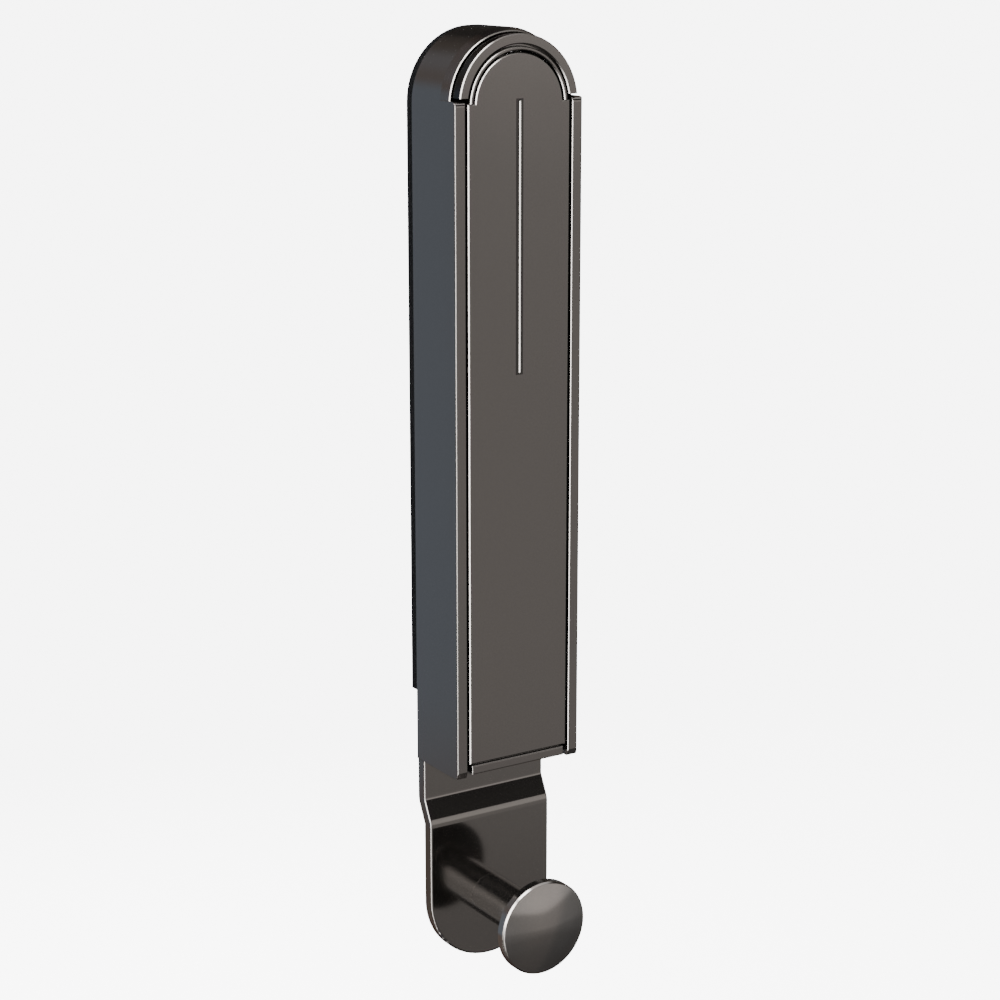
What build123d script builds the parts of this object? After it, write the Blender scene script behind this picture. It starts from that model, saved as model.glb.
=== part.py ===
from build123d import *
from math import atan2, cos, degrees, radians, sin, sqrt, tan
import os

# Folding wall rack for clothes. A slim upright case holds one arm, which swings down through the
# slot in front until it stands out level from the wall. The plate behind the case runs on below it
# and carries a round coat hook.
#
# Sizes are millimetres. X runs to the right, +Y goes into the wall and +Z is up. The origin is on
# the wall, in the middle of the four wall holes. Depths are measured from the wall towards the
# room, so a depth d lies at y = -d. Heights of pieces are measured from the case's lower edge.

# Driving sizes: case
case_width = 46.0
case_height = 234.0
case_depth = 25.0
case_sheet = 1.4
rail_width = 3.8
rail_corner = 0.7
rail_lip_bevel = 0.25
rail_top_round = 1.6
rail_end_rise = 2.2
rail_end_cut = 0.9
arch_step = 4.6
arch_taper = 0.9
arch_taper_length = 4.0
arch_edge = 0.3
rail_rise = 1.9
tab_length = 9.0
tab_height = 10.0
tab_heights = (44.0, 120.0, 176.0)
pattern_height = 129.0
foot_cap_height = 1.6

# Driving sizes: wall bracket and the plate that hangs on it
bracket_thickness = 3.4
bracket_lift = 23.2
bracket_inset = 0.25
bracket_bevel = 0.25
plate_thickness = 4.2
plate_drop = 71.2
plate_edge_round = 0.8
joggle_offset = 3.8
joggle_start = 13.1
joggle_run = 7.6
joggle_bend = 2.0
wall_hole_radius = 2.4
wall_hole_sink = 4.6
wall_holes_across = 24.0
wall_holes_apart = 140.0
driver_hole_radius = 4.9
stud_height = 92.0
stud_drop = 53.0
stud_neck_radius = 2.1
stud_head_radius = 3.8
stud_head_thickness = 1.3
stud_rivet_radius = 3.4
stud_rivet_height = 1.0
keyhole_travel = 9.0
lock_height = 60.0

# Driving sizes: arm
arm_depth = 14.0
arm_wall = 1.15
arm_web = 1.2
arm_rim_bevel = 0.3
arm_lift = 0.8
panel_thickness = 1.2
panel_gap = 0.9
panel_overhang = 0.8
panel_bevel = 0.35
panel_seam = 0.5
shoulder_rise = 1.0
groove_width = 0.65
groove_depth = 1.8
line_drop = 0.6
line_length = 82.8
line_floor = 0.2
line_depth = 0.4
line_slant = 45.0
bar_height = 3.1
bar_round = 0.5
heel_body_height = 18.5
head_end_gap = 0.8
head_bevel = 0.35
head_rear_trim = 0.6
notch_count = 5
notch_pitch = 30.0
notch_first = 40.0
notch_width = 8.0
notch_depth = 3.4
notch_reach = 5.0

# Driving sizes: hinge
hinge_setback = 9.0
pin_radius = 2.5
bush_radius = 3.5
bush_flange_radius = 5.2
bush_flange = 0.95
bush_length = 4.0
ear_thickness = 1.8
ear_radius = 5.6
ear_root = 4.5
ear_web_low = 18.0
ear_web_high = 34.0
clip_thickness = 0.5
clip_radius = 4.4
pin_end = 0.15
washer_thickness = 0.3
washer_radius = 4.8
stop_pad_thickness = 0.9
stop_pad_width = 28.0
stop_pad_height = 7.4

# Driving sizes: catch and rest bumper
catch_drop = 29.0
magnet_radius = 6.0
magnet_thickness = 3.0
magnet_wall = 1.2
strike_thickness = 1.0
strike_width = 24.0
strike_height = 15.0
strike_rivet_offset = 9.0
catch_air = 0.5
bumper_radius = 4.2
bumper_above_spring = 5.0

# Driving sizes: coat hook
hook_drop = 50.2
stem_radius = 7.3
stem_length = 28.9
knob_radius = 15.7
knob_rim = 2.9
knob_bevel = 0.55
knob_crown = 2.0
knob_neck_round = 1.5

# Driving sizes: fasteners
m3_radius = 1.5
m3_head_radius = 2.8
m3_head_height = 1.7
m4_radius = 2.0
m4_head_radius = 3.9
m4_head_height = 2.4
m4_length = 7.4
m5_radius = 2.5
m5_head_radius = 4.6
m5_head_height = 2.9
m5_grip = 12.0
small_screw_radius = 1.25
small_head_radius = 2.2
small_head_height = 1.2
rivet_radius = 1.6
rivet_head_radius = 2.8
rivet_head_height = 1.1
small_rivet_radius = 1.0
small_rivet_head_radius = 1.9
small_rivet_head_height = 0.7
panel_screw_height = 52.0
panel_screw_drop = 14.0
panel_stud_radius = 2.9

# Clearances
seat_gap = 0.05
running_gap = 0.05
thread_gap = 0.05
slide_gap = 0.25
swing_gap = 0.3
stop_gap = 0.1
ear_gap = 0.6
over = 1.0

# Depths from the wall
plate_rear = bracket_thickness
plate_front = plate_rear + plate_thickness
front = plate_rear + case_depth
low_plate_rear = plate_rear + joggle_offset
low_plate_front = plate_front + joggle_offset
rail_rear = front - case_sheet
arm_rear = front - arm_depth
web_front = arm_rear + arm_web
panel_rear = front - panel_thickness
hinge_depth = front - hinge_setback
knob_rear = low_plate_front + stem_length

# Half widths
case_half = case_width / 2
case_inner = case_half - case_sheet
slot_half = case_half - rail_width
panel_half = slot_half - panel_gap
arm_half = panel_half - panel_overhang
arm_inner = arm_half - arm_wall
tongue_half = arm_inner - groove_width
plate_half = case_inner - seat_gap
head_radius = case_inner - swing_gap
ear_inner = panel_half + ear_gap
ear_outer = ear_inner + ear_thickness
pin_half = ear_outer + seat_gap + clip_thickness + pin_end

# Heights above the origin
base = -pattern_height
case_top = base + case_height
spring = case_top - case_half
rail_top = spring + rail_rise
shoulder = spring + shoulder_rise
head_low = rail_top + head_end_gap
arm_low = base + arm_lift
heel_reach = hinge_depth - plate_front - stop_pad_thickness - stop_gap
hinge_height = arm_low + heel_reach
bar_top = arm_low + bar_height
panel_low = bar_top + panel_seam
hook_height = base - hook_drop
plate_low = base - plate_drop
catch_level = spring - catch_drop
bumper_level = spring + bumper_above_spring


def facing(depth):
    """Plane parallel to the wall at a depth, drawn as seen from the room."""
    return Plane.XZ.offset(depth)


SIDE = Plane(origin=(0, 0, 0), x_dir=(0, -1, 0), z_dir=(-1, 0, 0))


def arch_face(half, low, centre=spring):
    """Upright outline with a flat foot and a half-round top."""
    left = Line((-half, centre), (-half, low))
    foot = Line((-half, low), (half, low))
    right = Line((half, low), (half, centre))
    top = CenterArc((0, centre), half, 0, 180)
    return make_face([left, foot, right, top])


def block(x0, x1, d0, d1, z0, z1):
    """Box between two x values, two depths and two heights."""
    size = Box(x1 - x0, d1 - d0, z1 - z0)
    return Pos((x0 + x1) / 2, -(d0 + d1) / 2, (z0 + z1) / 2) * size


def turned(points, x=0.0, z=0.0):
    """Solid turned about a line that runs into the wall. Points are (radius, depth)."""
    plane = Plane(origin=(x, 0, z), x_dir=(1, 0, 0), z_dir=(0, 0, -1))
    profile = make_face(Polyline(*points, close=True))
    return revolve(plane * profile, axis=Axis((x, 0, z), (0, -1, 0)))


def drilled(radius, d0, d1, x=0.0, z=0.0):
    """Round bar or drill between two depths."""
    return turned([(0, d0), (radius, d0), (radius, d1), (0, d1)], x, z)


def crossbar(radius, x0, x1, depth, height):
    """Round bar along X."""
    centre = Plane(origin=(x0, -depth, height), x_dir=(0, 1, 0), z_dir=(1, 0, 0))
    return extrude(centre * Circle(radius), amount=x1 - x0)


def washer(inner, outer, x0, x1, depth, height):
    """Flat ring along X."""
    ring = crossbar(outer, x0, x1, depth, height)
    return ring - crossbar(inner, x0 - over, x1 + over, depth, height)


def pan_screw(radius, head_radius, head_height, seat, tip, x, z):
    """Pan head screw. Its head stands on the seat and its tip lies at the other depth."""
    way = 1 if seat > tip else -1
    top = seat + way * head_height
    edge = top - way * head_height * 0.45
    point = tip + way * radius * 0.4
    outline = [(0, tip), (radius * 0.6, tip), (radius, point), (radius, seat), (head_radius, seat),
               (head_radius, edge), (head_radius * 0.72, top), (0, top)]
    recess = [(0, top + way), (radius * 0.55, top + way), (radius * 0.55, top - way * head_height * 0.4),
              (0, top - way * head_height * 0.55)]
    return turned(outline, x, z) - turned(recess, x, z)


def flush_rivet(radius, head_radius, head_height, flush, seat, x, z):
    """Rivet closed flush in a countersink at one depth, with a low head standing on the other."""
    way = 1 if seat > flush else -1
    sink = (head_radius - radius) * 0.7
    outline = [(0, flush), (radius + sink, flush), (radius, flush + way * sink), (radius, seat),
               (head_radius, seat), (head_radius * 0.95, seat + way * head_height * 0.45),
               (head_radius * 0.6, seat + way * head_height), (0, seat + way * head_height)]
    return turned(outline, x, z)


def rivet_hole(radius, head_radius, flush, seat, x, z):
    """Hole for a flush rivet, with its countersink."""
    way = 1 if seat > flush else -1
    sink = (head_radius - radius) * 0.7
    wide = radius + sink + seat_gap
    bore = radius + seat_gap
    outline = [(0, flush - way * over), (wide, flush - way * over), (wide, flush),
               (bore, flush + way * sink), (bore, seat + way * over), (0, seat + way * over)]
    return turned(outline, x, z)


wall_hole_places = [(sx * wall_holes_across / 2, sz * wall_holes_apart / 2)
                    for sx in (-1, 1) for sz in (-1, 1)]
shell_rivet_x = case_inner - tab_length * 0.55
shell_rivet_places = [(sx * shell_rivet_x, base + h) for sx in (-1, 1) for h in tab_heights]
bracket_rivet_places = [(sx * ear_inner * 0.55, base + (ear_web_low + ear_web_high) / 2) for sx in (-1, 1)]
stud_levels = [base + stud_height, spring - stud_drop]
lock_level = base + lock_height


def wall_bracket():
    """Black plate screwed to the wall. Two keyholes take the studs of the plate in front."""
    outline = arch_face(case_half - bracket_inset, base + bracket_lift)
    body = extrude(facing(0) * outline, amount=bracket_thickness)
    body = chamfer(body.faces().sort_by(Axis.Y)[0].edges(), bracket_bevel)
    for x, z in wall_hole_places:
        body -= turned([(0, -over), (wall_hole_radius, -over),
                        (wall_hole_radius, bracket_thickness - (wall_hole_sink - wall_hole_radius)),
                        (wall_hole_sink, bracket_thickness), (wall_hole_sink, bracket_thickness + over),
                        (0, bracket_thickness + over)], x, z)
    neck = stud_neck_radius + slide_gap
    wide = stud_head_radius + slide_gap
    pocket = stud_head_thickness + 2 * slide_gap
    for z in stud_levels:
        middle = Pos(0, z + keyhole_travel / 2)
        slot = middle * SlotCenterToCenter(keyhole_travel, 2 * neck, rotation=90)
        room = middle * SlotCenterToCenter(keyhole_travel, 2 * wide, rotation=90)
        body -= extrude(facing(-over) * slot, amount=bracket_thickness + 2 * over)
        body -= extrude(facing(-over) * room, amount=pocket + over)
        body -= drilled(wide, -over, bracket_thickness + over, 0, z + keyhole_travel)
    body -= drilled(m4_radius + thread_gap, -over, bracket_thickness + over, 0, lock_level)
    return body


def plate_side():
    """Side view of the plate: straight behind the case, then stepped forward to the coat hook."""
    slope = atan2(joggle_offset, joggle_run)
    set_back = plate_thickness * tan(slope / 2)
    bend_high = base - joggle_start
    bend_low = bend_high - joggle_run
    outer_bend = joggle_bend + plate_thickness
    face_line = FilletPolyline((plate_front, case_top + over), (plate_front, bend_high),
                               (low_plate_front, bend_low), (low_plate_front, plate_low - over),
                               radius=[joggle_bend, outer_bend])
    back_line = FilletPolyline((plate_rear, case_top + over), (plate_rear, bend_high - set_back),
                               (low_plate_rear, bend_low - set_back), (low_plate_rear, plate_low - over),
                               radius=[outer_bend, joggle_bend])
    head = Line(face_line @ 0, back_line @ 0)
    foot = Line(face_line @ 1, back_line @ 1)
    return make_face([face_line, foot, back_line, head])


def plate_front_view():
    """Front view of the plate: a tongue inside the case, full width and half round below it."""
    shoulder = base - seat_gap
    round_centre = plate_low + case_half
    tongue = arch_face(plate_half, shoulder - over, spring)
    left = Line((-case_half, shoulder), (-case_half, round_centre))
    low = CenterArc((0, round_centre), case_half, 180, 180)
    right = Line((case_half, round_centre), (case_half, shoulder))
    top = Line((case_half, shoulder), (-case_half, shoulder))
    return tongue + make_face([left, low, right, top])


def back_plate():
    """Bent plate that carries everything and hangs on the wall bracket."""
    strip = extrude(SIDE * plate_side(), amount=case_width, both=True)
    depth = low_plate_front + 2 * over
    body = strip & extrude(facing(-over) * plate_front_view(), amount=depth)
    rim = [e for e in body.edges()
           if e.bounding_box().max.Z < base - seat_gap + 0.01 and abs(e.center().X) > 0.01
           and min(abs(case_half - abs(v.X)) for v in e.vertices()) < 0.01
           and e.bounding_box().size.Z > plate_edge_round]
    low_arc = [e for e in body.edges() if e.bounding_box().min.Z < plate_low + 0.01
               and e.bounding_box().size.Z > case_half / 2]
    edges = {hash(e): e for e in rim + low_arc}
    body = fillet(list(edges.values()), plate_edge_round)
    for x, z in wall_hole_places:
        body -= drilled(driver_hole_radius, plate_rear - over, plate_front + over, x, z)
    for x, z in shell_rivet_places:
        body -= rivet_hole(rivet_radius, rivet_head_radius, plate_rear, plate_front, x, z)
    for x, z in bracket_rivet_places:
        body -= rivet_hole(rivet_radius, rivet_head_radius, plate_rear, plate_front, x, z)
    for z in stud_levels:
        body -= drilled(stud_neck_radius + seat_gap, plate_rear - over, plate_front + over, 0, z)
    body -= drilled(m4_radius + slide_gap, plate_rear - over, plate_front + over, 0, lock_level)
    body -= drilled(m3_radius + thread_gap, plate_rear - over, plate_front + over, 0, catch_level)
    body -= drilled(m5_radius + slide_gap, low_plate_rear - over, low_plate_front + over, 0, hook_height)
    return body


def hanging_studs():
    """Shoulder studs riveted into the plate. Their heads sit behind the bracket's keyholes."""
    head_front = stud_head_thickness + slide_gap
    head_rear = slide_gap
    rivet_top = plate_front + stud_rivet_height
    outline = [(0, head_rear), (stud_head_radius, head_rear), (stud_head_radius, head_front),
               (stud_neck_radius, head_front), (stud_neck_radius, plate_front),
               (stud_rivet_radius, plate_front), (stud_rivet_radius * 0.7, rivet_top), (0, rivet_top)]
    studs = [turned(outline, 0, z) for z in stud_levels]
    return Compound(children=studs)


def lock_screw():
    """Holds the plate down on the bracket. It is reached with the arm open."""
    return pan_screw(m4_radius, m4_head_radius, m4_head_height, plate_front,
                     plate_front - m4_length, 0, lock_level)


def shell_straight():
    """Folded sides and rails, as high as the rails reach."""
    outer = Rectangle(case_width, case_depth, align=(Align.CENTER, Align.MIN))
    outer = fillet(outer.vertices().group_by(Axis.Y)[-1], rail_corner)
    inner = Rectangle(2 * case_inner, case_depth - case_sheet, align=(Align.CENTER, Align.MIN))
    slot = Rectangle(2 * slot_half, case_depth + over, align=(Align.CENTER, Align.MIN))
    plan = outer - inner - slot
    lips = [v for v in plan.vertices() if abs(abs(v.X) - slot_half) < 0.01 and v.Y > case_depth - 0.01]
    plan = chamfer(lips, rail_lip_bevel)
    plane = Plane(origin=(0, -plate_rear, base), x_dir=(-1, 0, 0), z_dir=(0, 0, 1))
    height = rail_top - base
    body = extrude(plane * plan, amount=height)
    corner = front - rail_top_round
    side = make_face([
        Line((plate_rear, base), (front - rail_end_cut, base)),
        Line((front - rail_end_cut, base), (front, base + rail_end_rise)),
        Line((front, base + rail_end_rise), (front, rail_top - rail_top_round)),
        CenterArc((corner, rail_top - rail_top_round), rail_top_round, 0, 90),
        Line((corner, rail_top), (plate_rear, rail_top)),
        Line((plate_rear, rail_top), (plate_rear, base)),
    ])
    return body & extrude(SIDE * side, amount=case_width, both=True)


def shell():
    """Case: one strip of sheet bent over the top, with its lips cut away round the bend."""
    step = front - arch_step
    lip = case_half - arch_taper
    band = turned([(case_inner, plate_rear), (case_half, plate_rear), (case_half, step - arch_taper_length),
                   (lip, step - arch_edge), (lip - arch_edge, step), (case_inner, step)], 0, spring)
    band -= block(-case_width, case_width, plate_rear - over, front, spring - case_width, spring)
    envelope = extrude(facing(plate_rear) * arch_face(case_half, base), amount=case_depth)
    body = (shell_straight() & envelope) + band
    for x, z in shell_rivet_places:
        edge = case_inner + case_sheet / 2
        inner = case_inner - tab_length
        x0, x1 = (inner, edge) if x > 0 else (-edge, -inner)
        tab = block(x0, x1, plate_front, plate_front + case_sheet, z - tab_height / 2, z + tab_height / 2)
        body += tab
        body -= drilled(rivet_radius + seat_gap, plate_front - over, plate_front + case_sheet + over, x, z)
    return body


def shell_rivets():
    """Six rivets through the plate and the case's folded tabs."""
    seat = plate_front + case_sheet
    rivets = [flush_rivet(rivet_radius, rivet_head_radius, rivet_head_height, plate_rear, seat, x, z)
              for x, z in shell_rivet_places]
    return Compound(children=rivets)


def foot_caps():
    """Plastic caps pressed into the case's two lower corners, beside the arm."""
    cap = block(slot_half, case_inner - seat_gap, plate_front + over, rail_rear - seat_gap,
                base, base + foot_cap_height)
    return Compound(children=[cap, mirror(cap, about=Plane.YZ)])


def ear_side():
    """Side view of the hinge bracket's ears."""
    root = Pos(plate_front + ear_root / 2, base + (ear_web_low + ear_web_high) / 2)
    root = root * Rectangle(ear_root, ear_web_high - ear_web_low)
    eye = Pos(hinge_depth, hinge_height) * Circle(ear_radius)
    return make_hull(root.edges() + eye.edges())


def hinge_bracket():
    """Steel bracket with two ears, riveted to the plate inside the case."""
    ear = extrude(SIDE * ear_side(), amount=ear_outer, both=True)
    inside = block(-ear_inner, ear_inner, plate_front - over, front, base - over, base + ear_web_high + over)
    web = block(-ear_inner - over / 2, ear_inner + over / 2, plate_front, plate_front + ear_thickness,
                base + ear_web_low, base + ear_web_high)
    body = (ear - inside) + web
    body -= crossbar(pin_radius + seat_gap, -case_half, case_half, hinge_depth, hinge_height)
    seat = plate_front + ear_thickness
    for x, z in bracket_rivet_places:
        body -= drilled(rivet_radius + seat_gap, plate_front - over, seat + over, x, z)
    return body


def bracket_rivets():
    """Two rivets through the plate and the hinge bracket."""
    seat = plate_front + ear_thickness
    rivets = [flush_rivet(rivet_radius, rivet_head_radius, rivet_head_height, plate_rear, seat, x, z)
              for x, z in bracket_rivet_places]
    return Compound(children=rivets)


def hinge_pin():
    """Pin through both ears, grooved for the two push-on clips."""
    pin = crossbar(pin_radius, -pin_half, pin_half, hinge_depth, hinge_height)
    return chamfer(pin.edges().filter_by(GeomType.CIRCLE), pin_end / 2)


def pin_clips():
    """Push-on clips outside the ears."""
    start = ear_outer + seat_gap
    clip = washer(pin_radius + running_gap / 2, clip_radius, start, start + clip_thickness, hinge_depth, hinge_height)
    return Compound(children=[clip, mirror(clip, about=Plane.YZ)])


def wave_washers():
    """Spring washers between the ears and the bushes, which give the arm its friction."""
    end = ear_inner - running_gap
    ring = washer(pin_radius + running_gap, washer_radius, end - washer_thickness, end, hinge_depth, hinge_height)
    return Compound(children=[ring, mirror(ring, about=Plane.YZ)])


def hinge_bushes():
    """Flanged plastic bushes pressed into the arm's side walls."""
    flange = washer(pin_radius + running_gap, bush_flange_radius, arm_half, arm_half + bush_flange,
                    hinge_depth, hinge_height)
    barrel = washer(pin_radius + running_gap, bush_radius, arm_half - bush_length, arm_half,
                    hinge_depth, hinge_height)
    bush = flange + barrel
    return Compound(children=[bush, mirror(bush, about=Plane.YZ)])


def stop_pad():
    """Hard pad that the arm's heel bears on when the arm is level."""
    top = hinge_height - over
    pad = block(-stop_pad_width / 2, stop_pad_width / 2, plate_front, plate_front + stop_pad_thickness,
                top - stop_pad_height, top)
    return fillet(pad.edges().filter_by(Axis.Y), stop_pad_height / 5)


def rest_bumper():
    """Rubber button that the folded arm comes to rest on."""
    top = arm_rear - stop_gap
    outline = [(0, plate_front), (bumper_radius, plate_front), (bumper_radius, top - bumper_radius * 0.4),
               (bumper_radius * 0.6, top), (0, top)]
    return turned(outline, 0, bumper_level)


magnet_front = arm_rear - strike_thickness - catch_air


def magnet_cup():
    """Plastic cup that holds the catch magnet on the plate."""
    outer = magnet_radius + magnet_wall
    floor = magnet_front - magnet_thickness
    bore = m3_radius + slide_gap
    outline = [(bore, plate_front), (outer, plate_front), (outer, magnet_front),
               (magnet_radius + seat_gap, magnet_front), (magnet_radius + seat_gap, floor), (bore, floor)]
    return turned(outline, 0, catch_level)


def magnet():
    """Ring magnet with a countersunk hole."""
    floor = magnet_front - magnet_thickness
    bore = m3_radius + slide_gap
    sink = m3_head_radius - bore + slide_gap
    outline = [(bore, floor), (magnet_radius, floor), (magnet_radius, magnet_front),
               (bore + sink, magnet_front), (bore, magnet_front - sink)]
    return turned(outline, 0, catch_level)


def magnet_screw():
    """Countersunk screw through the magnet into the plate."""
    head = m3_head_radius - m3_radius
    top = magnet_front - slide_gap
    outline = [(0, plate_rear + over), (m3_radius, plate_rear + over), (m3_radius, top - head),
               (m3_head_radius, top), (m3_radius * 0.6, top), (0, top - m3_radius * 0.6)]
    return turned(outline, 0, catch_level)


def hook_knob():
    """Turned coat hook: a plain stem with a wide, slightly crowned button."""
    rim_front = knob_rear + knob_rim
    face_edge = rim_front + knob_bevel
    crown = face_edge + knob_crown
    inner = knob_radius - knob_bevel
    neck = stem_radius + knob_neck_round
    foot = Line((0, low_plate_front), (stem_radius, low_plate_front))
    stem = Line(foot @ 1, (stem_radius, knob_rear - knob_neck_round))
    turn = CenterArc((neck, knob_rear - knob_neck_round), knob_neck_round, 180, -90)
    back = Line((neck, knob_rear), (knob_radius - knob_bevel / 2, knob_rear))
    back_bevel = Line(back @ 1, (knob_radius, knob_rear + knob_bevel / 2))
    rim = Line(back_bevel @ 1, (knob_radius, rim_front))
    bevel = Line(rim @ 1, (inner - knob_crown, face_edge + knob_crown))
    cap = Line(bevel @ 1, (0, crown + over))
    axis = Line(cap @ 1, (0, low_plate_front))
    profile = make_face([foot, stem, turn, back, back_bevel, rim, bevel, cap, axis])
    plane = Plane(origin=(0, 0, hook_height), x_dir=(1, 0, 0), z_dir=(0, 0, -1))
    body = revolve(plane * profile, axis=Axis((0, 0, hook_height), (0, -1, 0)))
    ball = (inner ** 2 + knob_crown ** 2) / (2 * knob_crown)
    body &= Pos(0, ball - crown, hook_height) * Sphere(ball)
    return body - drilled(m5_radius + thread_gap, low_plate_front - over,
                          low_plate_front + m5_grip + over, 0, hook_height)


hook_washer_thickness = 1.2


def hook_washer():
    """Spring washer under the hook screw's head."""
    rear = low_plate_rear - hook_washer_thickness
    bore = m5_radius + slide_gap
    return turned([(bore, rear), (m5_head_radius, rear), (m5_head_radius, low_plate_rear),
                   (bore, low_plate_rear)], 0, hook_height)


def hook_screw():
    """Screw from behind the plate into the hook's stem."""
    seat = low_plate_rear - hook_washer_thickness
    return pan_screw(m5_radius, m5_head_radius, m5_head_height, seat, low_plate_front + m5_grip, 0, hook_height)


def arm_channel():
    """The arm's body: a deep channel with a half-round end, closed behind and open in front."""
    low = bar_top + seat_gap
    outer = extrude(facing(arm_rear) * arch_face(arm_half, low), amount=arm_depth)
    room = extrude(facing(web_front) * arch_face(arm_inner, low - over), amount=arm_depth)
    body = outer - room
    body -= block(-case_half, case_half, panel_rear - seat_gap, front + over, low - over, shoulder)
    rim = body.faces().sort_by(Axis.Y)[0]
    body = chamfer(rim.edges().filter_by(GeomType.CIRCLE), arm_rim_bevel)
    for place in range(notch_count):
        z = base + notch_first + place * notch_pitch
        notch = extrude(SIDE * (Pos(arm_rear, z) * notch_side()), amount=case_half, both=True)
        notch -= block(-arm_half + notch_reach, arm_half - notch_reach, arm_rear - 2 * over, front,
                       z - notch_width, z + notch_width)
        body -= notch
    body -= crossbar(bush_radius + seat_gap, -case_half, case_half, hinge_depth, hinge_height)
    for x, z in heel_screw_places:
        body -= drilled(m3_radius + slide_gap, arm_rear - over, web_front + over, x, z)
    for z in panel_stud_levels:
        body -= drilled(m3_radius + slide_gap, arm_rear - over, web_front + over, 0, z)
    for sx in (-1, 1):
        body -= rivet_hole(small_rivet_radius, small_rivet_head_radius, arm_rear - strike_thickness, web_front,
                           sx * strike_rivet_offset, catch_level)
    for cut in head_screw_holes(small_screw_radius + slide_gap, arm_inner - over, arm_half + over):
        body -= cut
    return body


def notch_side():
    """Round-bottomed notch in the edge that hangers sit on."""
    half = notch_width / 2
    depth = notch_depth
    return make_face([
        Line((-2 * over, half), (depth - half * 0.6, half)),
        ThreePointArc((depth - half * 0.6, half), (depth, 0), (depth - half * 0.6, -half)),
        Line((depth - half * 0.6, -half), (-2 * over, -half)),
        Line((-2 * over, -half), (-2 * over, half)),
    ])


heel_screw_places = [(sx * arm_inner * 0.55, bar_top + heel_body_height * 0.78) for sx in (-1, 1)]
panel_stud_low = base + panel_screw_height
panel_stud_high = catch_level - panel_screw_drop
panel_stud_levels = [panel_stud_low, (panel_stud_low + panel_stud_high) / 2, panel_stud_high]
head_screw_angles = (40.0, 90.0, 140.0)
head_screw_depth = (arm_rear + front) / 2
head_screw_reach = 3.0


def radial(points, angle):
    """Turned solid that points out from the arch's centre. Points are (radius, distance out)."""
    out = Vector(cos(radians(angle)), 0, sin(radians(angle)))
    origin = Vector(0, -head_screw_depth, spring)
    plane = Plane(origin=origin, x_dir=(0, 1, 0), z_dir=Vector(0, 1, 0).cross(out))
    profile = make_face(Polyline(*points, close=True))
    return revolve(plane * profile, axis=Axis(origin, out))


def head_screw_holes(radius, start, end):
    """Radial holes for the head's screws."""
    points = [(0, start), (radius, start), (radius, end), (0, end)]
    return [radial(points, angle) for angle in head_screw_angles]


def head_screws():
    """Three small screws from inside the arm's round end into the head."""
    tip = arm_half + head_screw_reach
    seat = sqrt(arm_inner ** 2 - small_head_radius ** 2) - seat_gap
    top = seat - small_head_height
    points = [(0, top), (small_head_radius * 0.8, top), (small_head_radius, seat - small_head_height / 2),
              (small_head_radius, seat), (small_screw_radius, seat), (small_screw_radius, tip), (0, tip)]
    return Compound(children=[radial(points, angle) for angle in head_screw_angles])


def arm_head():
    """Cast half ring round the arm's end. It is the grip, and it keeps hangers on the arm."""
    bore = arm_half + seat_gap
    groove = arm_half + groove_width
    rear = arm_rear + head_rear_trim
    points = [(bore, rear), (head_radius - head_bevel, rear), (head_radius, rear + head_bevel),
              (head_radius, front - head_bevel), (head_radius - head_bevel, front),
              (groove + panel_bevel, front), (groove, front - panel_bevel), (groove, front - groove_depth),
              (bore, front - groove_depth)]
    ring = turned(points, 0, spring)
    ring -= block(-case_half, case_half, arm_rear - over, front + over, spring - case_width, head_low)
    for cut in head_screw_holes(small_screw_radius + thread_gap, arm_half - over,
                                arm_half + head_screw_reach + thread_gap):
        ring -= cut
    return ring


def panel_outline():
    """Front view of the cover: full width between the rails, narrower round the arch."""
    wide = Pos(0, (panel_low + shoulder) / 2) * Rectangle(2 * panel_half, shoulder - panel_low)
    return wide + arch_face(tongue_half, panel_low)


def front_panel():
    """Cover over the channel, with bevelled edges and one engraved upright line."""
    body = extrude(facing(panel_rear) * panel_outline(), amount=panel_thickness)
    body = chamfer(body.faces().sort_by(Axis.Y)[0].edges(), panel_bevel)
    middle = rail_top - line_drop - line_length / 2
    groove = Pos(0, middle) * SlotOverall(line_length, line_floor, rotation=90)
    floor = front - line_depth
    return body - extrude(facing(floor) * groove, amount=line_depth + over / 2, taper=-line_slant)


def panel_studs():
    """Threaded studs pressed into the cover, reaching back to the channel's web."""
    studs = [turned([(m3_radius + thread_gap, web_front), (panel_stud_radius, web_front),
                     (panel_stud_radius, panel_rear), (m3_radius + thread_gap, panel_rear)], 0, z)
             for z in panel_stud_levels]
    return Compound(children=studs)


def panel_screws():
    """Screws through the web into the cover's studs."""
    tip = panel_rear - over
    screws = [pan_screw(m3_radius, m3_head_radius, m3_head_height, arm_rear, tip, 0, z)
              for z in panel_stud_levels]
    return Compound(children=screws)


def heel_side():
    """Side view of the heel: a bar under the cover, and a round back that clears the plate."""
    chord = sqrt(heel_reach ** 2 - (hinge_depth - arm_rear) ** 2)
    low_back = hinge_height - chord
    return make_face([
        Line((front, bar_top), (front, arm_low)),
        Line((front, arm_low), (hinge_depth, arm_low)),
        CenterArc((hinge_depth, hinge_height), heel_reach, -90,
                  -degrees(atan2(hinge_depth - arm_rear, chord))),
        Line((arm_rear, low_back), (arm_rear, bar_top)),
        Line((arm_rear, bar_top), (front, bar_top)),
    ])


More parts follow.
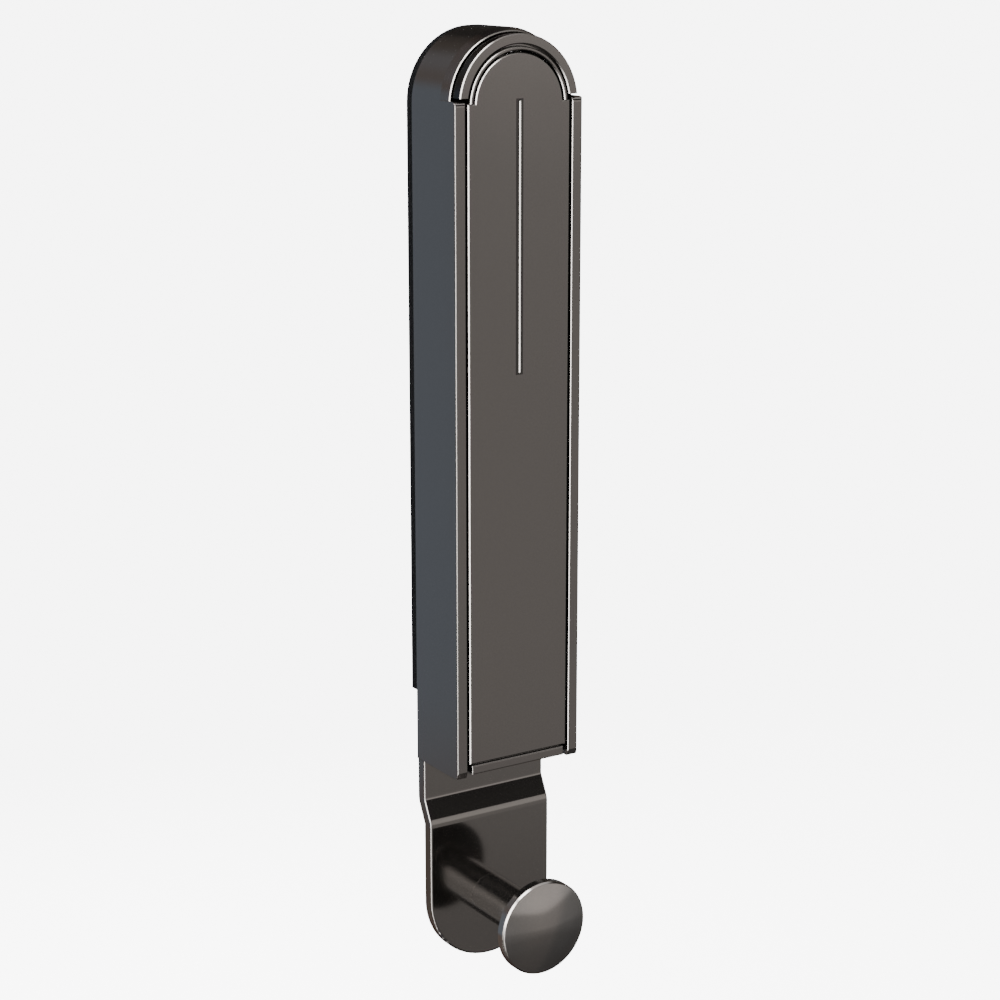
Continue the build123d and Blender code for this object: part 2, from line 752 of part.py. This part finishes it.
def arm_heel():
    """Cast end of the arm: the visible bar, the hinge boss inside the channel and the stop face."""
    bar = extrude(SIDE * heel_side(), amount=arm_half, both=True)
    face_edges = bar.faces().sort_by(Axis.Y)[0].edges()
    bar = fillet(face_edges, bar_round)
    half = arm_inner - seat_gap
    body = bar + block(-half, half, web_front + seat_gap, panel_rear - seat_gap, bar_top - seat_gap,
                       bar_top + heel_body_height)
    pocket_half = arm_half - bush_length - over
    pocket = block(-pocket_half, pocket_half, hinge_depth + pin_radius + over, panel_rear,
                   bar_top + over, bar_top + heel_body_height + over)
    body -= pocket
    body -= crossbar(pin_radius + slide_gap, -case_half, case_half, hinge_depth, hinge_height)
    for x0, x1 in ((-case_half, -arm_half + bush_length), (arm_half - bush_length, case_half)):
        body -= crossbar(bush_radius + seat_gap, x0, x1, hinge_depth, hinge_height)
    for x, z in heel_screw_places:
        body -= drilled(m3_radius + thread_gap, arm_rear, hinge_depth + pin_radius, x, z)
    return body


def heel_screws():
    """Two screws through the web into the heel."""
    tip = hinge_depth - over
    screws = [pan_screw(m3_radius, m3_head_radius, m3_head_height, arm_rear, tip, x, z)
              for x, z in heel_screw_places]
    return Compound(children=screws)


def strike_plate():
    """Steel plate on the arm's back for the catch magnet."""
    plate = block(-strike_width / 2, strike_width / 2, arm_rear - strike_thickness, arm_rear,
                  catch_level - strike_height / 2, catch_level + strike_height / 2)
    plate = fillet(plate.edges().filter_by(Axis.Y), strike_height / 6)
    for sx in (-1, 1):
        plate -= rivet_hole(small_rivet_radius, small_rivet_head_radius, arm_rear - strike_thickness, web_front,
                            sx * strike_rivet_offset, catch_level)
    return plate


def strike_rivets():
    """Two small rivets that hold the strike plate, flush behind and headed inside the channel."""
    rivets = [flush_rivet(small_rivet_radius, small_rivet_head_radius, small_rivet_head_height,
                          arm_rear - strike_thickness, web_front, sx * strike_rivet_offset, catch_level)
              for sx in (-1, 1)]
    return Compound(children=rivets)


NODES = {
    "wall_bracket": wall_bracket,
    "back_plate": back_plate,
    "hanging_studs": hanging_studs,
    "lock_screw": lock_screw,
    "shell": shell,
    "shell_rivets": shell_rivets,
    "foot_caps": foot_caps,
    "hinge_bracket": hinge_bracket,
    "bracket_rivets": bracket_rivets,
    "hinge_pin": hinge_pin,
    "pin_clips": pin_clips,
    "wave_washers": wave_washers,
    "stop_pad": stop_pad,
    "rest_bumper": rest_bumper,
    "magnet_cup": magnet_cup,
    "magnet": magnet,
    "magnet_screw": magnet_screw,
    "hook_knob": hook_knob,
    "hook_washer": hook_washer,
    "hook_screw": hook_screw,
    "arm_channel": arm_channel,
    "front_panel": front_panel,
    "panel_studs": panel_studs,
    "panel_screws": panel_screws,
    "arm_head": arm_head,
    "head_screws": head_screws,
    "arm_heel": arm_heel,
    "heel_screws": heel_screws,
    "hinge_bushes": hinge_bushes,
    "strike_plate": strike_plate,
    "strike_rivets": strike_rivets,
}

os.makedirs("parts", exist_ok=True)
for name, make in NODES.items():
    export_step(make(), f"parts/{name}.step")
print("hinge axis at depth", hinge_depth, "and height", hinge_height)
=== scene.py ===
"""Dresses the folding wall rack for clothes: finishes, soft studio light, floor and camera."""
import math

import bpy
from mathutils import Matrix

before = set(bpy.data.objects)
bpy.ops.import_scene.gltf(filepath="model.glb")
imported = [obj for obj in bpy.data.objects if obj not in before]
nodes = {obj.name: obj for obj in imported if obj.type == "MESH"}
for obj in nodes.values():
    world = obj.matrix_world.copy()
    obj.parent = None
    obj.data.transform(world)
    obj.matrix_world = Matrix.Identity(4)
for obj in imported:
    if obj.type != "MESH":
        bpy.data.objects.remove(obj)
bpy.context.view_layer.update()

# Places in the CAD frame, in metres. Its origin is on the wall, in the middle of the wall holes
CASE_FOOT = -0.129
CASE_FRONT = -0.0284
ARCH_CENTRE = 0.082
HOOK_HEIGHT = -0.1792
LINE_TOP = 0.0837
LINE_FOOT = 0.0001

# Limits of the parts of a piece where shade is painted into the colour, in metres
HEAD_WALL_RADIUS = 0.02115
HEAD_WALL_SETBACK = 0.0007
LINE_SHADE_HALF = 0.0013
LINE_SHADE_END = 0.0004
LINE_SHADE_DEPTH = 0.00019

# Shading of the hook's button: a cone of this slope whose tip is rounded off over this radius
DOME_SLOPE = -0.130
DOME_TIP = 0.0045

# Depths of the fine relief on a surface, in metres
ORANGE_PEEL = 0.00002
DRAWN_GRAIN = 0.00002
PEBBLES = 0.00006
MOULD_TEXTURE = 0.00004

# Stretch of a noise's values that is used
NOISE_LOW = 0.3
NOISE_HIGH = 0.7

# Radii that soften an edge in the shading, in metres
SHEET_EDGE = 0.00016
PLATE_EDGE = 0.00025
BUTTON_EDGE = 0.00020
STEEL_EDGE = 0.00012
MOULDED_EDGE = 0.00015

# Colours, as linear red, green and blue
WHITE = (1.0, 1.0, 1.0)
FLOOR_WHITE = (0.9, 0.9, 0.9)
GUN_GREY = (0.118, 0.110, 0.104)
PLATE_GREY = (0.108, 0.101, 0.095)
BUTTON_GREY = (0.165, 0.154, 0.146)
# Painted shade on the round outer wall of the arm's head
HEAD_WALL_PAINTED_SHADE = (0.012, 0.011, 0.010)
# Painted shade on the flats beside the bright cut line on the cover
LINE_PAINTED_SHADE = (0.045, 0.042, 0.040)
POWDER_BLACK = (0.0055, 0.0055, 0.006)
ZINC = (0.62, 0.63, 0.64)
NICKEL = (0.70, 0.68, 0.64)
GROUND_STEEL = (0.55, 0.55, 0.56)
PLASTIC_BLACK = (0.020, 0.020, 0.022)
RUBBER_BLACK = (0.014, 0.014, 0.014)


def feed(tree, source, socket):
    """Gives a socket what it needs: a link from another socket, a colour or a number."""
    if isinstance(source, bpy.types.NodeSocket):
        tree.links.new(source, socket)
    elif isinstance(source, tuple):
        socket.default_value = (*source, 1.0)
    else:
        socket.default_value = source


def calculate(tree, operation, a, b=None):
    """Math node with sockets or numbers."""
    node = tree.nodes.new("ShaderNodeMath")
    node.operation = operation
    feed(tree, a, node.inputs[0])
    if b is not None:
        feed(tree, b, node.inputs[1])
    return node.outputs["Value"]


def zero_to_one(tree, value):
    """Brings a value from between -1 and 1 to between 0 and 1."""
    return calculate(tree, "ADD", calculate(tree, "MULTIPLY", value, 0.5), 0.5)


def inside(tree, value, low, high):
    """1 between two limits and 0 outside them."""
    above = calculate(tree, "GREATER_THAN", value, low)
    below = calculate(tree, "LESS_THAN", value, high)
    return calculate(tree, "MULTIPLY", above, below)


def distance(tree, across, up, tip=0.0):
    """Distance from a centre. With a tip, it is rounded off near the centre."""
    squares = calculate(tree, "ADD", calculate(tree, "POWER", across, 2.0), calculate(tree, "POWER", up, 2.0))
    return calculate(tree, "SQRT", calculate(tree, "ADD", squares, tip ** 2))


def split_axes(tree, vector):
    """The three parts of a vector."""
    node = tree.nodes.new("ShaderNodeSeparateXYZ")
    feed(tree, vector, node.inputs["Vector"])
    return node.outputs["X"], node.outputs["Y"], node.outputs["Z"]


def mix_colours(tree, kind, factor, a, b):
    """Mix node for two colours, each a socket or a fixed colour."""
    node = tree.nodes.new("ShaderNodeMix")
    node.data_type = "RGBA"
    node.blend_type = kind
    feed(tree, factor, node.inputs["Factor"])
    feed(tree, a, node.inputs["A"])
    feed(tree, b, node.inputs["B"])
    return node.outputs["Result"]


def noise(tree, coords, scale, detail, roughness=0.55):
    """Three-dimensional noise. The scale is in waves per metre."""
    node = tree.nodes.new("ShaderNodeTexNoise")
    node.inputs["Scale"].default_value = scale
    node.inputs["Detail"].default_value = detail
    node.inputs["Roughness"].default_value = roughness
    feed(tree, coords, node.inputs["Vector"])
    return node.outputs["Fac"]


def spread(tree, value, low, high):
    """Maps the middle of a noise to a range."""
    node = tree.nodes.new("ShaderNodeMapRange")
    node.inputs["From Min"].default_value = NOISE_LOW
    node.inputs["From Max"].default_value = NOISE_HIGH
    node.inputs["To Min"].default_value = low
    node.inputs["To Max"].default_value = high
    feed(tree, value, node.inputs["Value"])
    return node.outputs["Result"]


def shade(colour, share):
    """A lighter or darker shade of a colour."""
    return tuple(part * share for part in colour)


def mottled(tree, value, colour, low, high):
    """Colour that follows a noise, from a low to a high share of its tone."""
    return mix_colours(tree, "MIX", spread(tree, value, 0.0, 1.0), shade(colour, low), shade(colour, high))


def uneven(tree, value, roughness, low, high):
    """Roughness that follows a noise, from a low to a high share of it."""
    return spread(tree, value, roughness * low, roughness * high)


def rounded_normal(tree, radius):
    """Softens edges that are sharper than the real ones."""
    node = tree.nodes.new("ShaderNodeBevel")
    node.samples = 8
    node.inputs["Radius"].default_value = radius
    return node.outputs["Normal"]


def bumped(tree, height, depth, strength, normal=None):
    """Relief over a normal."""
    node = tree.nodes.new("ShaderNodeBump")
    node.inputs["Strength"].default_value = strength
    node.inputs["Distance"].default_value = depth
    feed(tree, height, node.inputs["Height"])
    if normal is not None:
        feed(tree, normal, node.inputs["Normal"])
    return node.outputs["Normal"]


def new_material(name):
    """Empty node material, with its tree and its Principled shader."""
    mat = bpy.data.materials.new(name)
    mat.use_nodes = True
    tree = mat.node_tree
    return mat, tree, tree.nodes["Principled BSDF"]


def object_coordinates(tree):
    """Coordinates in metres that stay with the piece."""
    return tree.nodes.new("ShaderNodeTexCoord").outputs["Object"]


def dress(tree, shader, colour, roughness, normal):
    """Links what every finish works out for its shader."""
    feed(tree, colour, shader.inputs["Base Color"])
    feed(tree, roughness, shader.inputs["Roughness"])
    feed(tree, normal, shader.inputs["Normal"])


def painted_shade_on_head_wall(tree, coords):
    """Mask of the round outer wall of the arm's head, where shade is painted behind its bevel."""
    x, y, z = split_axes(tree, coords)
    out = distance(tree, x, calculate(tree, "SUBTRACT", z, ARCH_CENTRE))
    wall = calculate(tree, "GREATER_THAN", out, HEAD_WALL_RADIUS)
    behind = calculate(tree, "GREATER_THAN", y, CASE_FRONT + HEAD_WALL_SETBACK)
    return calculate(tree, "MULTIPLY", wall, behind)


def painted_shade_beside_line(tree, coords):
    """Mask of the painted shade on both sides of the bright cut line."""
    x, y, z = split_axes(tree, coords)
    beside = inside(tree, x, -LINE_SHADE_HALF, LINE_SHADE_HALF)
    along = inside(tree, z, LINE_FOOT - LINE_SHADE_END, LINE_TOP + LINE_SHADE_END)
    shallow = calculate(tree, "LESS_THAN", y, CASE_FRONT + LINE_SHADE_DEPTH)
    return calculate(tree, "MULTIPLY", calculate(tree, "MULTIPLY", beside, along), shallow)


def button_dome(tree, coords):
    """Height over the flat of the hook's button, which is a little fuller than a ball's cap."""
    x, _, z = split_axes(tree, coords)
    out = distance(tree, x, calculate(tree, "SUBTRACT", z, HOOK_HEIGHT), DOME_TIP)
    return calculate(tree, "MULTIPLY", out, DOME_SLOPE)


def coated_metal(name, colour, roughness, grain, edge, painted_shade_mask=None, painted_shade_colour=None, form=None):
    """Gun-grey coat on metal: cloudy gloss, a faint orange-peel relief and softened edges, with painted shade
    where a mask is given.
    """
    mat, tree, shader = new_material(name)
    coords = object_coordinates(tree)
    cloud = noise(tree, coords, scale=45.0, detail=2.0)
    fine = noise(tree, coords, scale=2600.0, detail=2.0, roughness=0.6)
    coat = mottled(tree, fine, colour, low=0.94, high=1.05)
    if painted_shade_mask is not None:
        coat = mix_colours(tree, "MIX", painted_shade_mask(tree, coords), coat, painted_shade_colour)
    normal = rounded_normal(tree, edge)
    if form is not None:
        normal = bumped(tree, form(tree, coords), depth=1.0, strength=1.0, normal=normal)
    sheen = uneven(tree, cloud, roughness, low=0.93, high=1.08)
    dress(tree, shader, coat, sheen, bumped(tree, fine, ORANGE_PEEL, grain, normal))
    shader.inputs["Metallic"].default_value = 0.92
    return mat


def plated_steel(name, colour, roughness):
    """Zinc or nickel plating with small changes of tone and a soft drawn grain."""
    mat, tree, shader = new_material(name)
    coords = object_coordinates(tree)
    patches = noise(tree, coords, scale=380.0, detail=4.0, roughness=0.6)
    grain = noise(tree, coords, scale=3200.0, detail=2.0)
    plating = mottled(tree, patches, colour, low=0.85, high=1.0)
    sheen = uneven(tree, patches, roughness, low=0.8, high=1.2)
    normal = bumped(tree, grain, DRAWN_GRAIN, strength=0.25, normal=rounded_normal(tree, STEEL_EDGE))
    dress(tree, shader, plating, sheen, normal)
    shader.inputs["Metallic"].default_value = 1.0
    return mat


def powder_coat(name, colour, roughness):
    """Black powder coat with its fine pebbled relief."""
    mat, tree, shader = new_material(name)
    pebble = noise(tree, object_coordinates(tree), scale=1500.0, detail=3.0, roughness=0.6)
    coat = mottled(tree, pebble, colour, low=1.0, high=1.5)
    sheen = uneven(tree, pebble, roughness, low=0.85, high=1.15)
    dress(tree, shader, coat, sheen, bumped(tree, pebble, PEBBLES, strength=0.35))
    shader.inputs["Specular IOR Level"].default_value = 0.02
    return mat


def moulded(name, colour, roughness, scale):
    """Moulded plastic or rubber with a fine spark-eroded texture."""
    mat, tree, shader = new_material(name)
    texture = noise(tree, object_coordinates(tree), scale, detail=3.0, roughness=0.6)
    skin = mottled(tree, texture, colour, low=1.0, high=1.35)
    sheen = uneven(tree, texture, roughness, low=0.9, high=1.1)
    normal = bumped(tree, texture, MOULD_TEXTURE, strength=0.3, normal=rounded_normal(tree, MOULDED_EDGE))
    dress(tree, shader, skin, sheen, normal)
    return mat


satin = coated_metal("gun_grey_satin", GUN_GREY, roughness=0.16, grain=0.08, edge=SHEET_EDGE)
# The head's and the cover's coats carry painted shade
head_coat_with_painted_shade = coated_metal("gun_grey_head_painted_shade", GUN_GREY, roughness=0.16, grain=0.08, edge=SHEET_EDGE,
                         painted_shade_mask=painted_shade_on_head_wall, painted_shade_colour=HEAD_WALL_PAINTED_SHADE)
cover_coat_with_painted_shade = coated_metal("gun_grey_cover_painted_shade", GUN_GREY, roughness=0.16, grain=0.08, edge=SHEET_EDGE,
                          painted_shade_mask=painted_shade_beside_line, painted_shade_colour=LINE_PAINTED_SHADE)
gloss = coated_metal("gun_grey_gloss", PLATE_GREY, roughness=0.11, grain=0.03, edge=PLATE_EDGE)
button = coated_metal("gun_grey_button", BUTTON_GREY, roughness=0.13, grain=0.05, edge=BUTTON_EDGE,
                      form=button_dome)
black = powder_coat("black_coat", POWDER_BLACK, roughness=0.5)
steel = plated_steel("zinc_steel", ZINC, roughness=0.28)
nickel = plated_steel("nickel_steel", NICKEL, roughness=0.16)
pin_steel = plated_steel("ground_steel", GROUND_STEEL, roughness=0.14)
plastic = moulded("dark_plastic", PLASTIC_BLACK, roughness=0.45, scale=2200.0)
rubber = moulded("soft_rubber", RUBBER_BLACK, roughness=0.8, scale=1200.0)

FINISH = {
    "wall_bracket": black,
    "back_plate": gloss,
    "hanging_studs": steel,
    "lock_screw": steel,
    "shell": satin,
    "shell_rivets": steel,
    "foot_caps": plastic,
    "hinge_bracket": steel,
    "bracket_rivets": steel,
    "hinge_pin": pin_steel,
    "pin_clips": pin_steel,
    "wave_washers": pin_steel,
    "stop_pad": plastic,
    "rest_bumper": rubber,
    "magnet_cup": plastic,
    "magnet": nickel,
    "magnet_screw": steel,
    "hook_knob": button,
    "hook_washer": steel,
    "hook_screw": steel,
    "arm_channel": satin,
    "front_panel": cover_coat_with_painted_shade,
    "panel_studs": steel,
    "panel_screws": steel,
    "arm_head": head_coat_with_painted_shade,
    "head_screws": steel,
    "arm_heel": satin,
    "heel_screws": steel,
    "hinge_bushes": plastic,
    "strike_plate": steel,
    "strike_rivets": steel,
}

for name, obj in nodes.items():
    obj.data.materials.clear()
    obj.data.materials.append(FINISH[name])

FLOOR_HALF = 60.0
FLOOR_HEIGHT = -0.62
FLOOR_GLOW = 6.0


def make_floor():
    """Plain pale floor, far enough below the rack to catch no hard shadow."""
    signs = ((-1, -1), (1, -1), (1, 1), (-1, 1))
    corners = [(x * FLOOR_HALF, y * FLOOR_HALF, FLOOR_HEIGHT) for x, y in signs]
    mesh = bpy.data.meshes.new("floor")
    mesh.from_pydata(corners, [], [(0, 1, 2, 3)])
    floor = bpy.data.objects.new("floor", mesh)
    bpy.context.scene.collection.objects.link(floor)
    mat, tree, shader = new_material("pale_floor")
    feed(tree, FLOOR_WHITE, shader.inputs["Base Color"])
    feed(tree, WHITE, shader.inputs["Emission Color"])
    shader.inputs["Emission Strength"].default_value = FLOOR_GLOW
    shader.inputs["Roughness"].default_value = 0.9
    shader.inputs["Specular IOR Level"].default_value = 0.0
    mesh.materials.append(mat)
    floor.visible_glossy = False
    floor.visible_diffuse = False


make_floor()

# The studio as the rack mirrors it. A turn is a direction round the rack in degrees: 0 is straight in front
# of it and + is to the right. A rise is the upright part of a direction, from -1 to 1.
GREYS_STRENGTH = 4.0
SCREEN_STRENGTH = 31.0
PLAIN_STRENGTH = 1.0

# Grey or colour at each turn
TONE = [
    (-180, 0.20),
    (-165, (0.45, 0.53, 0.64)),
    (-140, (0.54, 0.62, 0.74)),
    (-112, (0.60, 0.70, 0.85)),
    (-90, 0.95),
    (-20, 0.70),
    (20, (0.97, 0.93, 0.90)),
    (43, (0.93, 0.89, 0.87)),
    (60, 0.62),
    (80, 0.45),
    (125, 0.35),
    (136, 0.25),
    (145, 0.03),
    (162, 0.02),
    (170, 0.12),
    (180, 0.20),
]

# Share of the tone at each rise, in front of the wall and behind it
AHEAD = [
    (-1.0, 0.02),
    (-0.80, 0.08),
    (-0.55, 0.11),
    (-0.40, 0.165),
    (-0.34, 0.235),
    (-0.08, 0.245),
    (-0.01, 0.50),
    (0.06, 0.52),
    (0.28, 0.50),
    (0.36, 0.025),
    (0.62, 0.02),
    (0.78, 1.00),
    (1.0, 0.60),
]
BEHIND = [
    (-1.0, (0.15, 0.10, 0.07)),
    (-0.37, (0.21, 0.145, 0.105)),
    (-0.345, 0.24),
    (0.12, 0.25),
    (0.30, (0.22, 0.165, 0.13)),
    (0.45, (0.24, 0.20, 0.175)),
    (0.85, (0.20, 0.15, 0.12)),
    (1.0, (0.12, 0.09, 0.07)),
]
AHEAD_SHARE = [(-0.30, 0.0), (0.20, 1.0)]

# Bright screen at the left front, as four lobes: the stops over its turn, then over its rise
STRIP = ([(-66, 0.0), (-61.5, 1.0), (-53, 1.0), (-49, 0.0)],
         [(-0.95, 0.0), (-0.60, 0.9), (0.05, 1.0), (0.20, 0.0)])
GLOW = ([(-54, 0.0), (-48, 0.10), (-22, 0.10), (-10, 0.0)],
        [(-0.80, 0.0), (-0.60, 1.0), (0.38, 1.0), (0.50, 0.0)])
UPPER = ([(-88, 0.0), (-74, 1.0), (-52, 1.0), (-44, 0.05), (-30, 0.0)],
         [(0.05, 0.0), (0.20, 1.0), (0.74, 1.0), (0.80, 0.0)])
TOP = ([(-88, 0.0), (-74, 1.0), (-14, 1.0), (14, 0.0)],
       [(0.74, 0.0), (0.80, 1.0), (0.90, 0.9), (0.98, 0.3)])


def by_turn(degrees):
    """A turn as a place on a ramp."""
    return (degrees + 180.0) / 360.0


def by_rise(height):
    """A rise as a place on a ramp."""
    return (height + 1.0) / 2.0


def ramp(tree, value, stops, place):
    """Smooth colour ramp. Each stop is a turn or a rise, and a grey or a colour."""
    node = tree.nodes.new("ShaderNodeValToRGB")
    node.color_ramp.interpolation = "EASE"
    elements = node.color_ramp.elements
    while len(elements) < len(stops):
        elements.new(0.5)
    for element, (where, colour) in zip(elements, stops):
        rgb = colour if isinstance(colour, tuple) else (colour, colour, colour)
        element.position = place(where)
        element.color = (*rgb, 1.0)
    feed(tree, value, node.inputs["Fac"])
    return node.outputs["Color"]


def studio_greys(tree, turn, rise, towards_front):
    """Quiet greys all round, warmer behind the wall."""
    tone = ramp(tree, turn, TONE, by_turn)
    ahead = ramp(tree, rise, AHEAD, by_rise)
    behind = ramp(tree, rise, BEHIND, by_rise)
    share = ramp(tree, towards_front, AHEAD_SHARE, by_rise)
    return mix_colours(tree, "MULTIPLY", 1.0, tone, mix_colours(tree, "MIX", share, behind, ahead))


def bright_screen(tree, turn, rise):
    """The sum of the screen's lobes."""
    lobes = []
    for over_turn, over_rise in (STRIP, GLOW, UPPER, TOP):
        width = ramp(tree, turn, over_turn, by_turn)
        height = ramp(tree, rise, over_rise, by_rise)
        lobes.append(mix_colours(tree, "MULTIPLY", 1.0, width, height))
    screen = lobes[0]
    for lobe in lobes[1:]:
        screen = mix_colours(tree, "ADD", 1.0, screen, lobe)
    return screen


def background(tree, colour, strength):
    """Light of one colour from all round."""
    node = tree.nodes.new("ShaderNodeBackground")
    feed(tree, colour, node.inputs["Color"])
    node.inputs["Strength"].default_value = strength
    return node.outputs["Background"]


def make_studio():
    """Soft studio round the rack: gloss mirrors its greys and its screen, and the rest is plain white."""
    world = bpy.data.worlds.new("studio")
    bpy.context.scene.world = world
    world.use_nodes = True
    tree = world.node_tree
    tree.nodes.clear()
    dx, dy, dz = split_axes(tree, tree.nodes.new("ShaderNodeTexCoord").outputs["Generated"])
    to_front = calculate(tree, "MULTIPLY", dy, -1.0)
    around = calculate(tree, "ARCTAN2", dx, to_front)
    turn = calculate(tree, "ADD", calculate(tree, "DIVIDE", around, 2.0 * math.pi), 0.5)
    rise = zero_to_one(tree, dz)
    greys = studio_greys(tree, turn, rise, zero_to_one(tree, to_front))
    screen = bright_screen(tree, turn, rise)
    mirrored = tree.nodes.new("ShaderNodeAddShader")
    feed(tree, background(tree, greys, GREYS_STRENGTH), mirrored.inputs[0])
    feed(tree, background(tree, screen, SCREEN_STRENGTH), mirrored.inputs[1])
    shown = tree.nodes.new("ShaderNodeMixShader")
    feed(tree, tree.nodes.new("ShaderNodeLightPath").outputs["Is Glossy Ray"], shown.inputs["Fac"])
    feed(tree, background(tree, WHITE, PLAIN_STRENGTH), shown.inputs[1])
    feed(tree, mirrored.outputs["Shader"], shown.inputs[2])
    output = tree.nodes.new("ShaderNodeOutputWorld")
    feed(tree, shown.outputs["Shader"], output.inputs["Surface"])


make_studio()


def add_area(name, place, target, width, height, power):
    """Soft lamp that points at a place and shows in no mirror image."""
    data = bpy.data.lights.new(name, "AREA")
    data.shape = "RECTANGLE"
    data.size = width
    data.size_y = height
    data.energy = power
    lamp = bpy.data.objects.new(name, data)
    bpy.context.scene.collection.objects.link(lamp)
    lamp.location = place
    way = [t - p for t, p in zip(target, place)]
    level = math.hypot(way[0], way[1])
    lamp.rotation_euler = (math.pi / 2 + math.atan2(way[2], level), 0.0, math.atan2(-way[0], way[1]))
    lamp.visible_camera = False
    lamp.visible_glossy = False


add_area("key", place=(-0.75, -0.85, 0.55), target=(0.0, -0.02, -0.05), width=0.5, height=0.7, power=4.0)
add_area("back_fill", place=(0.30, 1.00, 0.30), target=(0.0, 0.0, -0.05), width=0.8, height=0.8, power=30.0)

# Camera, found by fitting the rack's edges in the photograph. Metres, degrees and millimetres of lens
CAMERA_PLACE = (-0.3888, -0.6252, CASE_FOOT + 0.2673)
CAMERA_DIP = 14.070
CAMERA_TURN = -32.604
CAMERA_LENS = 84.43
CAMERA_SENSOR = 36.0


def make_camera():
    """Camera at the photograph's viewing angle."""
    data = bpy.data.cameras.new("camera")
    camera = bpy.data.objects.new("camera", data)
    bpy.context.scene.collection.objects.link(camera)
    camera.location = CAMERA_PLACE
    camera.rotation_euler = (math.radians(90.0 - CAMERA_DIP), 0.0, math.radians(CAMERA_TURN))
    data.sensor_width = CAMERA_SENSOR
    data.lens = CAMERA_LENS
    data.clip_start = 0.01
    data.clip_end = 200.0
    bpy.context.scene.camera = camera


make_camera()
